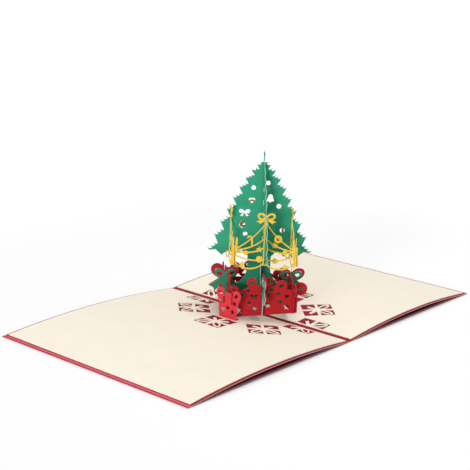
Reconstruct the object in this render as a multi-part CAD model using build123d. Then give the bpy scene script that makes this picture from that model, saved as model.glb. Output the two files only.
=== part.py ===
from build123d import *
import math
import os

# A greeting card lying open, with a tree that pops up from crossed paper sheets.
# X runs across the fold, Y along the fold and Z up. The origin is on the table, at the middle of the fold.
# All sizes are in millimetres.

# Cover and liners
page_width = 150.0
page_depth = 150.0
page_rise = 4.0
spine_width = 3.0
cover_thickness = 0.5
liner_thickness = 0.4
liner_outer_margin = 3.6
liner_end_margin = 1.6
liner_fold_margin = 2.7
glue_gap = 0.05

# Gift shapes cut through the liners
gift_count = 8
gift_circle = 41.0
gift_pane = 9.2
gift_ribbon = 2.0

# Paper and slots of the pop-up
sheet_thickness = 0.4
slot_clearance = 0.06
lattice_offset = 19.8
lattice_angle = 47.5
ring_lap = 13.0
garland_lap = 55.0
garland_corner_lap = 44.5
tree_lap = 55.0

# Tree
tree_top = 102.0
tier_count = 9
tier_growth = 1.38
top_tier_drop = 3.4
top_tier_reach = 4.0
low_tier_rise = 3.0
low_tier_reach = 33.0
notch_depth = 3.8
needle_length = 1.8
needle_pitch = 2.3
skirt_height = 39.5
twig_count = 3
twig_length = 3.6
trunk_half_width = 7.6
flare_height = 31.0
arm_top = 19.0
arm_bottom = 6.5
star_rise = 4.2
star_reach = 4.4
stem_half_width = 0.9

# Ribbon bows on the arms of the tree
bow_place = 21.7
bow_height = 24.5
bow_loop_reach = 8.6
bow_tail_reach = 10.4
bow_loop_tilt = 33.0
bow_post_half = 1.3
red_bow_reach = 10.6
red_bow_lift = 0.6
red_spike_height = 32.5
red_spike_half = 0.5

# Garland
garland_bow_height = 69.3
garland_bow_reach = 6.4
garland_bow_tilt = 20.0
garland_bow_droop = 0.62
post_half_width = 1.1
post_bottom = 38.4
string_width = 0.9
tassel_height = 50.0
tassel_length = 11.4
tassel_half_width = 2.0
tassel_neck_half = 1.0
candle_inset = 1.7
candle_half_width = 0.65
candle_top = 54.6

# Gift panels
panel_page_rise = 0.35
panel_fold_bottom = 7.8
panel_box_end = 22.7
panel_page_tail = 1.2
panel_top = 25.8
loop_hole_length = 1.8
loop_hole_width = 1.1

# Gift anchors
anchor_standoff = 2.8
anchor_half_width = 6.8
anchor_top_half_width = 8.6
anchor_top = 17.6
anchor_tongue_top = 20.6
anchor_loop_reach = 3.7
tab_length = 3.4

# Values worked out from the sizes above
page_half_chord = (page_width - spine_width / 2) / 2
page_radius = (page_half_chord**2 + page_rise**2) / (2 * page_rise)
page_centre_x = spine_width / 2 + page_half_chord
page_centre_z = page_rise - page_radius
liner_lift = cover_thickness + glue_gap
liner_top = liner_lift + liner_thickness
tab_lift = liner_top + glue_gap
tab_top = tab_lift + sheet_thickness
arm_across = math.cos(math.radians(lattice_angle))
arm_along = math.sin(math.radians(lattice_angle))
cross_sine = 2 * arm_across * arm_along
cross_cosine = abs(arm_across**2 - arm_along**2)
slot_width = (sheet_thickness * (1 + cross_cosine) + 2 * slot_clearance) / cross_sine
anchor_slot_width = (sheet_thickness * (1 + arm_along) + 2 * slot_clearance) / arm_across
layer_step = sheet_thickness + glue_gap
double_slot_width = slot_width + 2 * layer_step / cross_sine
anchor_place = 2 * lattice_offset * arm_across + anchor_standoff
anchor_crossing = anchor_place / arm_across - lattice_offset
anchor_slot_place = anchor_standoff * arm_along / arm_across
top_tier_height = tree_top - top_tier_drop
low_tier_height = skirt_height + low_tier_rise
star_height = tree_top + star_rise
sky = 2 * star_height


def page_point(distance, lift):
    """Point at a distance from the fold, lifted square to the underside of the bowed page."""
    angle = math.asin((distance - page_centre_x) / page_radius)
    radius = page_radius + lift
    return (page_centre_x + radius * math.sin(angle), page_centre_z + radius * math.cos(angle))


def page_arc(inner, outer, lift):
    """Arc of the page between two distances from the fold."""
    middle = (inner + outer) / 2
    return ThreePointArc(page_point(inner, lift), page_point(middle, lift), page_point(outer, lift))


def outline(points):
    return make_face(Polyline(*points, close=True))


def block(left, right, low, high):
    return Pos((left + right) / 2, (low + high) / 2) * Rectangle(right - left, high - low)


def slot(place, low, high, width=slot_width):
    return block(place - width / 2, place + width / 2, low, high)


def mirrored(face):
    return mirror(face, Plane.YZ)


def largest(face):
    """The main piece of a cut sheet, without the scraps that its slots cut off."""
    return Sketch() + face.faces().sort_by(SortBy.AREA)[-1]


def upright(centre, direction):
    """Vertical drawing plane: first axis along the direction, second axis up."""
    along = Vector(direction[0], direction[1], 0).normalized()
    return Plane(origin=(centre[0], centre[1], 0), x_dir=along, z_dir=(along.Y, -along.X, 0))


def paper(face, plane):
    return extrude(plane * face, amount=sheet_thickness / 2, both=True)


def scattered(shapes, width, height):
    """Shapes set out on a sheet, each placed by a share of its width and a share of its height."""
    total = Sketch()
    for across, up, shape in shapes:
        total += Pos(across * width, up * height) * shape
    return total


# Small shapes that are cut out of the sheets or hang on the strings


def star(reach, points=5):
    waist = 0.45 * reach
    corners = []
    for step in range(2 * points):
        radius = waist if step % 2 else reach
        angle = math.pi * (0.5 + step / points)
        corners.append((radius * math.cos(angle), radius * math.sin(angle)))
    return outline(corners)


def ball(reach):
    return Circle(reach)


def heart(reach):
    lobe = reach * 0.55
    tip = Rot(0, 0, 45) * Rectangle(2 * lobe, 2 * lobe)
    side = lobe * math.sqrt(0.5)
    return tip + Pos(side, side) * Circle(lobe) + Pos(-side, side) * Circle(lobe)


def bell(reach):
    shoulder = 0.6 * reach
    rim = outline([(-shoulder, 0.3 * reach), (shoulder, 0.3 * reach), (reach, -reach), (-reach, -reach)])
    dome = Pos(0, 0.3 * reach) * Circle(shoulder)
    clapper = Pos(0, -reach) * Circle(0.3 * reach)
    return dome + rim + clapper


def wedge(reach):
    return outline([(-reach, -0.5 * reach), (reach, -0.5 * reach), (0.2 * reach, 0.6 * reach)])


def cane(reach):
    hook = Circle(reach) - Circle(0.45 * reach) - block(-2 * reach, 2 * reach, -2 * reach, 0)
    stick = block(0.45 * reach, reach, -2.4 * reach, 0)
    return hook + stick


def ring_ball(reach):
    return Circle(reach) - Circle(0.45 * reach)


def bow_loop(reach, tilt):
    """One loop of a ribbon bow, to the right of the knot, with its opening."""
    ring = Ellipse(0.46 * reach, 0.34 * reach) - Ellipse(0.26 * reach, 0.16 * reach)
    return Rot(0, 0, tilt) * Pos(0.48 * reach, 0) * ring


def bow_tail(reach, droop=1.0):
    """One forked ribbon end, to the right of the knot. A lower droop makes it flatter."""
    return outline(
        [
            (0, 0.12 * reach),
            (reach, -0.58 * droop * reach),
            (0.72 * reach, -0.68 * droop * reach),
            (0.62 * reach, -0.95 * droop * reach),
            (-0.06 * reach, -0.1 * reach),
        ]
    )


def ribbon_bow(loop, tail, knot_reach):
    """A bow from one loop and one end, which are repeated on the other side of the knot."""
    return loop + mirrored(loop) + tail + mirrored(tail) + Circle(knot_reach)


def bow_silhouette(reach):
    """A small solid bow: two loops and two ends."""
    loop = Pos(0.55 * reach, 0.18 * reach) * Rot(0, 0, 20) * Ellipse(0.48 * reach, 0.38 * reach)
    tail = outline([(0, 0), (0.8 * reach, -0.6 * reach), (0.35 * reach, -0.8 * reach)])
    return loop + mirrored(loop) + tail + mirrored(tail) + Circle(0.22 * reach)


# Cover and liners


def make_cover():
    """One folded card: a flat strip at the fold and two bowed pages."""
    rise = cover_thickness - page_centre_z
    upper_radius = page_radius + cover_thickness
    inner_top = page_centre_x - math.sqrt(upper_radius**2 - rise**2)
    under = page_arc(spine_width / 2, page_width, 0)
    over = ThreePointArc(
        (inner_top, cover_thickness),
        page_point(page_centre_x, cover_thickness),
        page_point(page_width, cover_thickness),
    )
    right_page = make_face(
        [
            Line((0, 0), under @ 0),
            under,
            Line(under @ 1, over @ 1),
            over,
            Line(over @ 0, (0, cover_thickness)),
            Line((0, cover_thickness), (0, 0)),
        ]
    )
    profile = right_page + mirrored(right_page)
    return extrude(Plane.XZ * profile, amount=page_depth / 2, both=True)


def gift_windows(half_gap):
    """Openings of one gift, drawn with its bow upwards. The paper left between them is the ribbon."""
    low = gift_ribbon / 2
    pane = block(half_gap, half_gap + gift_pane, low, low + gift_pane)
    loop_place = Pos(half_gap + 0.4 * gift_pane, low + 0.4 * gift_pane) * Rot(0, 0, 45)
    loop = loop_place * Ellipse(0.62 * gift_pane, 0.27 * gift_pane)
    eye = loop_place * Ellipse(0.46 * gift_pane, 0.15 * gift_pane)
    tail = outline(
        [
            (half_gap, -low),
            (half_gap + 0.16 * gift_pane, -low),
            (half_gap + 0.62 * gift_pane, -low - 0.44 * gift_pane),
            (half_gap + 0.46 * gift_pane, -low - 0.6 * gift_pane),
            (half_gap, -low - 0.16 * gift_pane),
        ]
    )
    half = (pane - loop) + eye + (block(half_gap, half_gap + gift_pane, -low - gift_pane, -low) - tail)
    return half + mirrored(half)


def all_gift_windows():
    windows = Sketch()
    for step in range(gift_count):
        angle = 360 * step / gift_count
        on_fold = abs(math.cos(math.radians(angle))) * gift_circle < gift_pane
        half_gap = liner_fold_margin + gift_ribbon / 2 if on_fold else gift_ribbon / 2
        windows += Rot(0, 0, angle - 90) * Pos(0, gift_circle) * gift_windows(half_gap)
    return windows


def make_liner(side, cutter):
    """A cream sheet glued on one page, bowed with it."""
    outer = page_width - liner_outer_margin
    under = page_arc(liner_fold_margin, outer, liner_lift)
    over = page_arc(liner_fold_margin, outer, liner_top)
    profile = make_face([under, Line(under @ 1, over @ 1), over, Line(over @ 0, under @ 0)])
    if side < 0:
        profile = mirrored(profile)
    depth = page_depth - 2 * liner_end_margin
    return extrude(Plane.XZ * profile, amount=depth / 2, both=True) - cutter


# Tree


def needles(start, end):
    """Points from start to end with thin needles that stand off to the left and lean forwards."""
    run = Vector(end[0] - start[0], end[1] - start[1])
    count = max(2, round(run.length / needle_pitch))
    off = run.normalized().rotate(Axis.Z, 90) * min(needle_length, 0.75 * run.length / count)
    points = [start]
    for step in range(count):
        foot = Vector(*start) + run * ((step + 0.35) / count)
        tip = Vector(*start) + run * ((step + 1) / count) + off
        heel = Vector(*start) + run * ((step + 0.8) / count)
        points += [(foot.X, foot.Y), (tip.X, tip.Y), (heel.X, heel.Y)]
    return points


def tier_tips():
    """Tip of each tier of branches, from the top one down."""
    tips = []
    for step in range(tier_count):
        share = step / (tier_count - 1)
        reach = top_tier_reach + (low_tier_reach - top_tier_reach) * share
        height = top_tier_height - (top_tier_height - low_tier_height) * share**tier_growth
        tips.append((reach, height))
    return tips


def make_crown():
    """The branches: tiers of tips with needles along their upper edges, and twigs that droop below."""
    tips = tier_tips()
    points = needles((0, tree_top), tips[0])
    for tip, below in zip(tips, tips[1:]):
        depth = min(notch_depth, 0.75 * tip[0])
        notch = ((tip[0] + below[0]) / 2 - depth, (tip[1] + below[1]) / 2)
        points.append(tip)
        points += needles(notch, below)
    points.append(tips[-1])
    twig_pitch = (low_tier_reach - trunk_half_width) / twig_count
    for step in range(twig_count):
        points.append((low_tier_reach - (step + 0.5) * twig_pitch, skirt_height + twig_length))
        points.append((low_tier_reach - (step + 1) * twig_pitch, skirt_height))
    points.append((0, skirt_height))
    half = outline(points)
    return half + mirrored(half)


def make_trunk():
    """The trunk, flared into two arms that end in a post."""
    arm_end = bow_place - bow_post_half
    flare = ThreePointArc(
        (trunk_half_width, flare_height),
        (trunk_half_width + 0.3 * (arm_end - trunk_half_width), arm_top + 0.3 * (flare_height - arm_top)),
        (arm_end, arm_top),
    )
    rim = Polyline(
        (arm_end, arm_top),
        (bow_place + bow_post_half, arm_top),
        (bow_place + bow_post_half, arm_bottom),
        (0, arm_bottom),
        (0, low_tier_height),
        (trunk_half_width, low_tier_height),
        (trunk_half_width, flare_height),
    )
    half = make_face([flare, *rim.edges()])
    return half + mirrored(half)


def tree_ornaments():
    """Openings cut in the crown: balls, hearts, bows and bells."""
    openings = [
        (-0.18, 0.83, ball(1.5)),
        (-0.2, 0.745, heart(2.2)),
        (-0.333, 0.67, bow_silhouette(3.6)),
        (-0.365, 0.597, bell(2.4)),
        (-0.3, 0.53, ball(1.5)),
        (0.1, 0.863, ball(1.5)),
        (0.158, 0.77, bell(2.5)),
        (0.333, 0.716, ball(1.6)),
        (0.424, 0.56, ball(1.6)),
    ]
    return scattered(openings, low_tier_reach, tree_top)


def make_tree_face():
    face = make_crown() + make_trunk()
    loop = bow_loop(bow_loop_reach, bow_loop_tilt)
    bow = Pos(bow_place, bow_height) * ribbon_bow(loop, bow_tail(bow_tail_reach), bow_post_half)
    post = block(bow_place - bow_post_half, bow_place + bow_post_half, arm_bottom, bow_height)
    face = face + bow + mirrored(bow) + post + mirrored(post) - tree_ornaments()
    for side in (-1, 1):
        face -= slot(side * lattice_offset, garland_lap, tree_top)
        face -= slot(side * lattice_offset, 0, ring_lap)
    return largest(face)


def make_tree_sheets():
    """Two sheets that slide into each other: one slot opens at the top, the other at the bottom."""
    face = make_tree_face()
    topper = Pos(0, star_height) * star(star_reach)
    stem = block(-stem_half_width, stem_half_width, tree_top - notch_depth, star_height)
    left_right = face - slot(0, tree_lap, sky)
    front_back = face + topper + stem - slot(0, 0, tree_lap)
    return {
        "tree_sheet_left_right": paper(left_right, upright((0, 0), (arm_across, -arm_along))),
        "tree_sheet_front_back": paper(front_back, upright((0, 0), (arm_across, arm_along))),
    }


def make_red_bow():
    """A ribbon bow, drawn on the same axes as the tree, that is glued behind one of its bows."""
    knot = bow_height + red_bow_lift
    loop = bow_loop(red_bow_reach, bow_loop_tilt)
    bow = Pos(bow_place, knot) * ribbon_bow(loop, bow_tail(red_bow_reach), bow_post_half)
    foot = (arm_top + arm_bottom) / 2
    post = block(bow_place - bow_post_half, bow_place + bow_post_half, foot, knot)
    spike = outline(
        [
            (bow_place - red_spike_half, knot),
            (bow_place + red_spike_half, knot),
            (bow_place, red_spike_height),
        ]
    )
    return bow + post + spike


# Garland


def string(start, end, sag):
    """A thin string that sags between two points."""
    half = string_width / 2
    middle = ((start[0] + end[0]) / 2, (start[1] + end[1]) / 2 - sag)
    upper = ThreePointArc(
        (start[0], start[1] + half), (middle[0], middle[1] + half), (end[0], end[1] + half)
    )
    lower = ThreePointArc(
        (start[0], start[1] - half), (middle[0], middle[1] - half), (end[0], end[1] - half)
    )
    return make_face([upper, Line(upper @ 1, lower @ 1), lower, Line(lower @ 0, upper @ 0)])


def make_tassel():
    bottom = tassel_height - tassel_length
    skirt = outline(
        [
            (lattice_offset - tassel_neck_half, tassel_height),
            (lattice_offset + tassel_neck_half, tassel_height),
            (lattice_offset + tassel_half_width, bottom),
            (lattice_offset - tassel_half_width, bottom),
        ]
    )
    knob = Pos(lattice_offset, tassel_height) * Circle(1.2 * tassel_neck_half)
    candle_place = lattice_offset - candle_inset
    candle = block(
        candle_place - candle_half_width, candle_place + candle_half_width, tassel_height - 4, candle_top
    )
    flame = Pos(candle_place, candle_top) * Ellipse(candle_half_width, 3 * candle_half_width)
    return skirt + knob + candle + flame


def make_garland_face():
    """Lace of a bow, a post, strings and ornaments, drawn about the post."""
    tie = lattice_offset - tassel_neck_half
    side = make_tassel()
    for post_share, tie_share, sag_share in (
        (0.96, 0.704, 0.032),
        (0.815, 0.696, 0.029),
        (0.729, 0.69, 0.032),
        (0.609, 0.649, 0.022),
        (0.584, 0.577, 0.058),
    ):
        start = (0, post_share * garland_bow_height)
        end = (tie, tie_share * garland_bow_height)
        side += string(start, end, sag_share * garland_bow_height)
    post = block(-post_half_width, post_half_width, post_bottom, garland_bow_height)
    loop = bow_loop(garland_bow_reach, garland_bow_tilt)
    tail = bow_tail(garland_bow_reach, garland_bow_droop)
    bow = Pos(0, garland_bow_height) * ribbon_bow(loop, tail, post_half_width)
    trims = [
        (-0.495, 0.808, cane(1.9)),
        (-0.17, 0.707, star(2.4)),
        (-0.167, 0.615, ball(2.1)),
        (-0.616, 0.672, ball(1.5)),
        (-0.717, 0.563, star(2.4)),
        (0.41, 0.808, ring_ball(2.5)),
        (0.303, 0.748, star(2.4)),
        (0.646, 0.681, ball(1.6)),
        (0.338, 0.6, ball(1.8)),
        (0.677, 0.548, star(2.2)),
    ]
    face = side + mirrored(side) + post + bow + scattered(trims, lattice_offset, garland_bow_height)
    return face - slot(0, 0, garland_lap)


# Gift panels and anchors


def loop_hole():
    return Rot(0, 0, 35) * Ellipse(loop_hole_length, loop_hole_width)


def make_panel_face():
    """A row of gift boxes with bows, drawn about its crossing with the tree, page end on the left."""
    tab_end = (anchor_place - tab_length) / arm_across - lattice_offset - sheet_thickness
    foot = page_point(anchor_place - tab_length, liner_top)[1] + panel_page_rise
    step = page_point(anchor_place, tab_top)[1] + panel_page_rise
    hook_end = anchor_crossing + panel_page_tail
    anchor_side = anchor_crossing - anchor_slot_width / 2
    face = outline(
        [
            (-hook_end, ring_lap),
            (-anchor_side, ring_lap),
            (-anchor_side, step),
            (-tab_end, step),
            (-tab_end, foot),
            (panel_box_end, panel_fold_bottom),
            (panel_box_end, 0.853 * panel_top),
            (0.606 * lattice_offset, 0.922 * panel_top),
            (0.1 * lattice_offset, panel_top),
            (-0.404 * lattice_offset, 0.961 * panel_top),
            (-0.682 * lattice_offset, 0.829 * panel_top),
            (-hook_end, 0.674 * panel_top),
        ]
    )
    loops = [
        (-0.93, 0.806, 3.6),
        (-0.364, 1.047, 3.2),
        (0.172, 1.07, 3.0),
        (0.6, 0.985, 3.9),
        (1.232, 0.93, 4.2),
    ]
    face += scattered([(across, up, Circle(reach)) for across, up, reach in loops], lattice_offset, panel_top)
    cuts = [(across, up, loop_hole()) for across, up, _ in loops]
    cuts += [
        (-0.727, 0.694, bow_silhouette(2.8)),
        (-0.273, 0.694, bow_silhouette(2.4)),
        (-0.475, 0.845, wedge(2.4)),
        (0.263, 0.888, wedge(2.6)),
        (0.197, 0.721, star(2.1)),
        (0.495, 0.791, wedge(2.1)),
        (-0.414, 0.519, star(1.9)),
        (0.591, 0.566, star(2.2)),
        (0.793, 0.705, heart(1.7)),
        (0.192, 0.492, bell(1.6)),
        (-0.758, 0.31, star(2.5, 6)),
        (-0.237, 0.364, star(2.1)),
        (0.808, 0.442, star(2.3)),
    ]
    face -= scattered(cuts, lattice_offset, panel_top)
    face -= slot(0, ring_lap, sky)
    return face - slot(0, arm_top, sky, double_slot_width)


def make_anchor(side):
    """A gift box parallel to the fold, with a glue tab that lies on the page."""
    floor = page_point(anchor_place + sheet_thickness / 2, tab_lift)[1]
    loop_place = Pos(anchor_top_half_width - 0.6 * anchor_loop_reach, anchor_top + 0.45 * anchor_loop_reach)
    loop = loop_place * (Circle(anchor_loop_reach) - loop_hole())
    box = outline(
        [
            (-anchor_half_width, floor),
            (anchor_half_width, floor),
            (anchor_top_half_width, anchor_top),
            (-anchor_top_half_width, anchor_top),
        ]
    )
    tongue = block(-anchor_slot_place, anchor_slot_place, floor, anchor_tongue_top)
    cuts = [
        (-0.78, 0.807, ball(1.3)),
        (0.83, 0.773, bow_silhouette(1.7)),
        (-0.574, 0.477, star(2.2)),
        (0.588, 0.466, heart(1.8)),
        (0, 0.602, ball(1.2)),
    ]
    face = box + tongue + loop + mirrored(loop) - scattered(cuts, anchor_half_width, anchor_top)
    for across in (-1, 1):
        face -= slot(across * anchor_slot_place, ring_lap, sky, anchor_slot_width)
    plate = paper(face, upright((side * anchor_place, 0), (0, 1)))
    outer = anchor_place + sheet_thickness / 2
    inner = anchor_place - tab_length
    profile = outline(
        [
            page_point(outer, tab_lift),
            page_point(inner, tab_lift),
            page_point(inner, tab_top),
            page_point(outer, tab_top),
        ]
    )
    if side < 0:
        profile = mirrored(profile)
    tab = extrude(Plane.XZ * profile, amount=anchor_half_width, both=True)
    return plate + tab


# Assembly

quarters = {
    "front_left": (-1, -1),
    "front_right": (1, -1),
    "back_left": (-1, 1),
    "back_right": (1, 1),
}


def quarter_plane(across, along):
    """Drawing plane of a garland or panel, with its first axis from the page end to the fold end."""
    centre = (across * lattice_offset * arm_across, along * lattice_offset * arm_along)
    return upright(centre, (-across * arm_across, along * arm_along))


def corner_slots(across, along, lap):
    """Slots at both corners: open at the top on two of the sheets, at the bottom on the other two."""
    low, high = (lap, sky) if across == along else (0, lap)
    return slot(-lattice_offset, low, high) + slot(lattice_offset, low, high)


def build_pieces():
    pieces = {"cover": make_cover()}
    cutter = extrude(all_gift_windows(), amount=page_rise + 2 * liner_top)
    pieces["liner_left"] = make_liner(-1, cutter)
    pieces["liner_right"] = make_liner(1, cutter)
    pieces.update(make_tree_sheets())
    garland = make_garland_face()
    panel = make_panel_face()
    red_bow = make_red_bow()
    for name, (across, along) in quarters.items():
        plane = quarter_plane(across, along)
        pieces["garland_" + name] = paper(garland - corner_slots(across, along, garland_corner_lap), plane)
        pieces["gift_panel_" + name] = paper(panel - corner_slots(across, along, ring_lap), plane)
        behind = 1 if across != along else -1
        shift = (layer_step * arm_along, behind * layer_step * arm_across)
        arm = (across * arm_across, along * arm_along)
        pieces["red_bow_" + name] = paper(red_bow, upright(shift, arm))
    pieces["gift_anchor_left"] = make_anchor(-1)
    pieces["gift_anchor_right"] = make_anchor(1)
    return pieces


os.makedirs("parts", exist_ok=True)
for node, piece in build_pieces().items():
    export_step(piece, f"parts/{node}.step")
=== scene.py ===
import math
from typing import NamedTuple

import bpy
from mathutils import Color, Matrix, Vector


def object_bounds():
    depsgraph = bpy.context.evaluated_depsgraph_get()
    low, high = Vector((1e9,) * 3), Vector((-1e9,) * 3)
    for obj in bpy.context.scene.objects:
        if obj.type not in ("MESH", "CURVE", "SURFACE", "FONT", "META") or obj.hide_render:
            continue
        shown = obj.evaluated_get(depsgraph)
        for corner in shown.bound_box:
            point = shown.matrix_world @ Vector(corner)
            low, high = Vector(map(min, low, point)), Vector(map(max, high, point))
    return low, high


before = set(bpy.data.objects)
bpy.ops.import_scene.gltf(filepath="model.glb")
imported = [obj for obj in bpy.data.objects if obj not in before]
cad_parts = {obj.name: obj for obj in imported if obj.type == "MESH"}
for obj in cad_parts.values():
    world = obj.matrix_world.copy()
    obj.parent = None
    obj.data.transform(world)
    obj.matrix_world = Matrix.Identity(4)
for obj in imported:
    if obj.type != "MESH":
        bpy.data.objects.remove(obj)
cad_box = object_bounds()


class Paper(NamedTuple):
    """A coloured paper. The last two are the shares by which cut edges are lighter and the tint varies."""

    name: str
    colour: tuple
    edge_lighten: float
    variation: float = 0.10


# Lengths are in metres, angles in degrees, and colours as they look on screen, from 0 to full_level.
# An azimuth says where a viewer stands: at 0 the view is along +Y, with +X to the right.
full_level = 255

# Camera, fitted to the corners of the card and the tip of the tree in the photograph. Its sensor and lens
# are in millimetres.
camera_azimuth = -50.92
camera_elevation = 14.08
camera_roll = 2.80
camera_eye = Vector((-0.5496, -0.4252, 0.2269))
sensor_width = 36.0
camera_lens = 84.58
clip_start = 0.01
clip_end = 100.0

# Light: a low soft lamp from the left, a wide one overhead and an even white surrounding. The surrounding
# lights the card at world_strength, and as a background it is plain white.
key_azimuth = -76.0
key_elevation = 5.5
key_distance = 2.6
key_size = 0.9
key_power = 50.0
top_place = Vector((0.2, -0.15, 1.5))
top_size = 0.9
top_power = 13.1
world_strength = 0.38
white_strength = 1.0
white = (1.0, 1.0, 1.0, 1.0)

# Half the card's length across the fold and along it
half_across = cad_box[1][0]
half_along = cad_box[1][1]

# Floor: white paint. Under the card it carries a painted shadow, dark red for the shade and the cover's red
# bounce light, which fades to white over a short blend up to the card's edges.
# Background rays also see a glow. It is off under the card, rises close to its edges and again further out.
# Starts and reaches are distances from those edges.
floor_white = (246, 246, 246)
floor_reach = 30.0
painted_shadow_red = (140, 48, 66)
painted_shadow_blend = 0.004
near_glow = 0.11
near_reach = 0.004
far_glow = 0.60
far_start = 0.08
far_reach = 0.80

# Papers
# The cover's red is darker than the card's own red: painted shade for its windows in the liners.
cover_card = Paper("cover_card", (146, 22, 38), edge_lighten=0.55)
liner_paper = Paper("liner_paper", (250, 241, 224), edge_lighten=0.0, variation=0.025)
tree_paper = Paper("tree_paper", (47, 153, 119), edge_lighten=0.6)
garland_paper = Paper("garland_paper", (226, 188, 60), edge_lighten=0.35)
gift_paper = Paper("gift_paper", (172, 18, 28), edge_lighten=0.15)
# The anchors' red is a lighter copy of the gift panels' red: painted light, for the lamp from the left on
# them.
anchor_paper = Paper("anchor_paper", (208, 50, 60), edge_lighten=0.15)
bow_paper = Paper("bow_paper", (160, 26, 44), edge_lighten=0.12)

# Grain of the papers: fibres and a soft mottle. mottle_share is the mottle's part in the tint, which is
# darkest and lightest at the two levels of the grain.
fibre_size = 0.00035
fibre_detail = 3
fibre_distortion = 1.5
mottle_size = 0.012
mottle_detail = 4
mottle_share = 0.5
dark_level = 0.3
light_level = 0.7

# Surface of the papers: roughness at the lowest and highest grain, relief of the fibres and gloss
low_roughness = 0.70
high_roughness = 0.90
relief_strength = 0.25
relief_height = 0.00006
specular_level = 0.28

# Cosine of the angle between a surface and the way that its sheet looks: from face_cosine up it is a face of
# the sheet, and from edge_cosine down a cut edge
face_cosine = 0.75
edge_cosine = 0.35

# Painted highlight: a paler band where light catches the upper side of the cover's outer margins. Inset of
# its middle from the edge, half width and blend. The inset leaves a line of the darker red on either side of
# the band, as painted shadow along the liner's edge and the card's edge.
painted_rim_highlight = (216, 92, 108)
rim_inset = 0.00185
rim_half = 0.0007
rim_blend = 0.0004

# Painted shade at the tree's foot, between the gift panels: full up to shade_low, and none above shade_high
shade_low = 0.036
shade_high = 0.048
shade_share = 0.32

# Angle between the tree's arms and the line across the fold, as in the CAD source
lattice_angle = 47.5


def linear(colour, lighten=0.0):
    """Screen colour to linear light with full alpha, moved towards white by a share first."""
    shares = [channel / full_level for channel in colour]
    lightened = [share + (1 - share) * lighten for share in shares]
    return (*Color(lightened).from_srgb_to_scene_linear(), 1.0)


def scaled(colour, factor):
    """Linear colour times a factor, up to full light, with full alpha."""
    return (*[min(1.0, channel * factor) for channel in colour[:3]], 1.0)


def towards_viewer(azimuth, elevation):
    """Unit vector from the card to a viewer."""
    turn = math.radians(azimuth)
    rise = math.radians(elevation)
    return Vector((math.sin(turn) * math.cos(rise), -math.cos(turn) * math.cos(rise), math.sin(rise)))


def new_material(name):
    """Empty material, and its graph of nodes."""
    material = bpy.data.materials.new(name)
    material.use_nodes = True
    material.node_tree.nodes.clear()
    return material, material.node_tree


def add_node(graph, kind, inputs=None, **settings):
    """New shader node. An input that is given a socket is linked to it, and any other takes the value."""
    node = graph.nodes.new("ShaderNode" + kind)
    for name, value in settings.items():
        setattr(node, name, value)
    for key, value in (inputs or {}).items():
        if isinstance(value, bpy.types.NodeSocket):
            graph.links.new(value, node.inputs[key])
        else:
            node.inputs[key].default_value = value
    return node


def add_math(graph, operation, *values, clamp=False):
    """Result of a math node on sockets or numbers."""
    node = add_node(graph, "Math", dict(enumerate(values)), operation=operation, use_clamp=clamp)
    return node.outputs["Value"]


def add_vector_math(graph, operation, *values):
    """Vector math node on sockets or vectors."""
    return add_node(graph, "VectorMath", dict(enumerate(values)), operation=operation)


def add_range(graph, value, start, end, low=0.0, high=1.0, curve="LINEAR"):
    """Value that goes from low to high while another goes from start to end, and stays there beyond them."""
    inputs = {"Value": value, "From Min": start, "From Max": end, "To Min": low, "To Max": high}
    return add_node(graph, "MapRange", inputs, interpolation_type=curve).outputs["Result"]


def add_mix(graph, share, first, second):
    """Colour between two others."""
    inputs = {"Factor": share, "A": first, "B": second}
    return add_node(graph, "Mix", inputs, data_type="RGBA").outputs["Result"]


def add_noise(graph, size, detail, distortion=0.0):
    """Noise on the piece's own coordinates."""
    place = add_node(graph, "TexCoord").outputs["Object"]
    inputs = {"Vector": place, "Scale": 1 / size, "Detail": detail, "Distortion": distortion}
    return add_node(graph, "TexNoise", inputs).outputs["Fac"]


def add_spot(graph):
    """Outputs X, Y and Z of a surface's place on the piece."""
    place = add_node(graph, "TexCoord").outputs["Object"]
    return add_node(graph, "SeparateXYZ", {"Vector": place}).outputs


def add_painted_rim_highlight(graph, colour):
    """Blend a colour to the painted highlight along the cover's outer margins, on its upper side only."""
    from_fold = add_math(graph, "ABSOLUTE", add_spot(graph)["X"])
    from_middle = add_math(graph, "SUBTRACT", from_fold, half_across - rim_inset)
    distance = add_math(graph, "ABSOLUTE", from_middle)
    band = add_range(graph, distance, rim_half + rim_blend, rim_half)
    normal = add_node(graph, "NewGeometry").outputs["True Normal"]
    upward = add_node(graph, "SeparateXYZ", {"Vector": normal}).outputs["Z"]
    share = add_math(graph, "MULTIPLY", band, upward, clamp=True)
    return add_mix(graph, share, colour, linear(painted_rim_highlight))


def add_painted_foot_shade(graph, colour):
    """Darken a colour towards the foot of the tree, as painted shade."""
    level = add_range(graph, add_spot(graph)["Z"], shade_low, shade_high, low=1 - shade_share)
    return add_node(graph, "VectorMath", {0: colour, "Scale": level}, operation="SCALE").outputs["Vector"]


def add_largest_cosine(graph, facing):
    """Largest cosine between a surface and the directions that a sheet's printed faces look in."""
    normal = add_node(graph, "NewGeometry").outputs["True Normal"]
    largest = 0.0
    for way in facing:
        cosine = add_vector_math(graph, "DOT_PRODUCT", normal, way).outputs["Value"]
        largest = add_math(graph, "MAXIMUM", largest, add_math(graph, "ABSOLUTE", cosine))
    return largest


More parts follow.
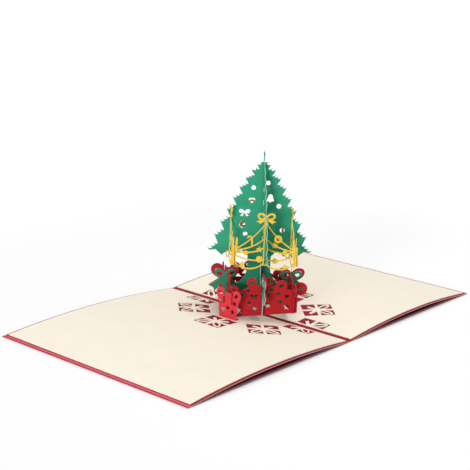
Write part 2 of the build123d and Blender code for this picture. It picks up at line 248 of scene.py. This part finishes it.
def paper_material(paper, facing, add_detail=None):
    """Coloured paper: fibres, a faint mottle, and cut edges that show the lighter core.

    facing holds the directions that the printed faces of the sheet look in. add_detail is the function that
    changes the colour of those faces, if there is one.
    """
    material, graph = new_material(paper.name)
    fibre = add_noise(graph, fibre_size, fibre_detail, fibre_distortion)
    mottle = add_noise(graph, mottle_size, mottle_detail)
    fibre_part = add_math(graph, "MULTIPLY", fibre, 1 - mottle_share)
    grain = add_math(graph, "MULTIPLY_ADD", mottle, mottle_share, fibre_part)

    tint = add_node(graph, "ValToRGB", {"Fac": grain})
    darkest, lightest = tint.color_ramp.elements
    darkest.position = dark_level
    lightest.position = light_level
    darkest.color = scaled(linear(paper.colour), 1 - paper.variation)
    lightest.color = scaled(linear(paper.colour), 1 + paper.variation)
    face_colour = tint.outputs["Color"]
    if add_detail:
        face_colour = add_detail(graph, face_colour)
    edge_colour = linear(paper.colour, paper.edge_lighten)
    edge_share = add_range(graph, add_largest_cosine(graph, facing), face_cosine, edge_cosine)

    inputs = {"Height": fibre, "Strength": relief_strength, "Distance": relief_height}
    relief = add_node(graph, "Bump", inputs)
    inputs = {
        "Base Color": add_mix(graph, edge_share, face_colour, edge_colour),
        "Roughness": add_range(graph, fibre, 0, 1, low_roughness, high_roughness),
        "Normal": relief.outputs["Normal"],
        "Specular IOR Level": specular_level,
    }
    shader = add_node(graph, "BsdfPrincipled", inputs)
    add_node(graph, "OutputMaterial", {"Surface": shader.outputs["BSDF"]})
    return material


def dress(names, material):
    """Give nodes a material."""
    for name in names:
        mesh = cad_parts[name].data
        mesh.materials.clear()
        mesh.materials.append(material)


def dress_card():
    """Give each node its paper."""
    flat = (0, 0, 1)
    across = (1, 0, 0)
    dress(["cover"], paper_material(cover_card, [flat], add_painted_rim_highlight))
    dress(["liner_left", "liner_right"], paper_material(liner_paper, [flat]))
    dress(["gift_anchor_left", "gift_anchor_right"], paper_material(anchor_paper, [across, flat]))

    # Garlands and gift panels stand in the quarters that a tree sheet looks at, red bows along its arms
    lean = math.radians(lattice_angle)
    front_left = (-math.sin(lean), -math.cos(lean), 0)
    front_right = (math.sin(lean), -math.cos(lean), 0)
    left_quarters = ("front_left", "back_right")
    right_quarters = ("front_right", "back_left")
    for facing, tree_sheet, quarters, arms in (
        (front_left, "tree_sheet_left_right", left_quarters, right_quarters),
        (front_right, "tree_sheet_front_back", right_quarters, left_quarters),
    ):
        dress([tree_sheet], paper_material(tree_paper, [facing], add_painted_foot_shade))
        dress(["garland_" + quarter for quarter in quarters], paper_material(garland_paper, [facing]))
        dress(["gift_panel_" + quarter for quarter in quarters], paper_material(gift_paper, [facing]))
        dress(["red_bow_" + arm for arm in arms], paper_material(bow_paper, [facing]))


def add_background_rays(graph):
    """Value that is 1 for the rays that show the background and 0 for those that light the card."""
    path = add_node(graph, "LightPath").outputs
    direct = add_math(graph, "ADD", path["Is Camera Ray"], path["Is Glossy Ray"])
    return add_math(graph, "ADD", direct, path["Is Transmission Ray"], clamp=True)


def add_distance(graph, half_x, half_y):
    """Distance of a place on the floor from a rectangle round the origin, 0 inside it."""
    place = add_node(graph, "NewGeometry").outputs["Position"]
    mirrored = add_vector_math(graph, "ABSOLUTE", place).outputs["Vector"]
    beyond = add_vector_math(graph, "SUBTRACT", mirrored, (half_x, half_y, 0)).outputs["Vector"]
    outside = add_vector_math(graph, "MAXIMUM", beyond, (0, 0, 0)).outputs["Vector"]
    return add_vector_math(graph, "LENGTH", outside).outputs["Value"]


def floor_material():
    """White paint with a dark red painted shadow under the card, and a glow that only background rays see.
    """
    material, graph = new_material("floor_paint")
    distance = add_distance(graph, half_across - painted_shadow_blend, half_along - painted_shadow_blend)
    beside = add_range(graph, distance, 0, painted_shadow_blend)
    colour = add_mix(graph, beside, linear(painted_shadow_red), linear(floor_white))
    paint = add_node(graph, "BsdfDiffuse", {"Color": colour})

    levels = []
    for start, end, top in ((0, near_reach, near_glow), (far_start, far_reach, far_glow)):
        first = painted_shadow_blend + start
        last = painted_shadow_blend + end
        levels.append(add_range(graph, distance, first, last, high=top, curve="SMOOTHSTEP"))
    level = add_math(graph, "ADD", *levels)
    strength = add_math(graph, "MULTIPLY", add_background_rays(graph), level)
    glow = add_node(graph, "Emission", {"Strength": strength})
    both = add_node(graph, "AddShader", {0: paint.outputs["BSDF"], 1: glow.outputs["Emission"]})
    add_node(graph, "OutputMaterial", {"Surface": both.outputs["Shader"]})
    return material


def make_floor():
    """A pale table that fills the view, with a painted shadow under the card. It keeps the card's shadow."""
    corners = [(-1, -1), (1, -1), (1, 1), (-1, 1)]
    mesh = bpy.data.meshes.new("floor")
    mesh.from_pydata([(x * floor_reach, y * floor_reach, 0) for x, y in corners], [], [(0, 1, 2, 3)])
    mesh.materials.append(floor_material())
    floor = bpy.data.objects.new("floor", mesh)
    bpy.context.scene.collection.objects.link(floor)


def add_lamp(name, place, size, power):
    """A round soft lamp that faces the middle of the card."""
    lamp = bpy.data.lights.new(name, "AREA")
    lamp.shape = "DISK"
    lamp.size = size
    lamp.energy = power
    holder = bpy.data.objects.new(name, lamp)
    bpy.context.scene.collection.objects.link(holder)
    holder.location = place
    holder.rotation_euler = place.to_track_quat("Z", "Y").to_euler()


def make_light():
    """The two lamps and the white surrounding."""
    world = bpy.data.worlds.new("studio")
    bpy.context.scene.world = world
    world.use_nodes = True
    graph = world.node_tree
    background = graph.nodes["Background"]
    background.inputs["Color"].default_value = white
    strength = add_range(graph, add_background_rays(graph), 0, 1, world_strength, white_strength)
    graph.links.new(strength, background.inputs["Strength"])
    add_lamp("key", towards_viewer(key_azimuth, key_elevation) * key_distance, key_size, key_power)
    add_lamp("top", top_place, top_size, top_power)


def make_camera():
    """Camera with its back, right and up axes worked out from the fitted angles."""
    back = towards_viewer(camera_azimuth, camera_elevation)
    level = Vector((0, 0, 1)).cross(back).normalized()
    above = back.cross(level)
    roll = math.radians(camera_roll)
    right = math.cos(roll) * level + math.sin(roll) * above
    up = math.cos(roll) * above - math.sin(roll) * level
    data = bpy.data.cameras.new("camera")
    data.sensor_fit = "HORIZONTAL"
    data.sensor_width = sensor_width
    data.lens = camera_lens
    data.clip_start = clip_start
    data.clip_end = clip_end
    camera = bpy.data.objects.new("camera", data)
    bpy.context.scene.collection.objects.link(camera)
    axes = Matrix((right, up, back)).transposed().to_4x4()
    camera.matrix_world = Matrix.Translation(camera_eye) @ axes
    bpy.context.scene.camera = camera


dress_card()
make_floor()
make_light()
make_camera()
bpy.context.scene.view_settings.view_transform = "Standard"
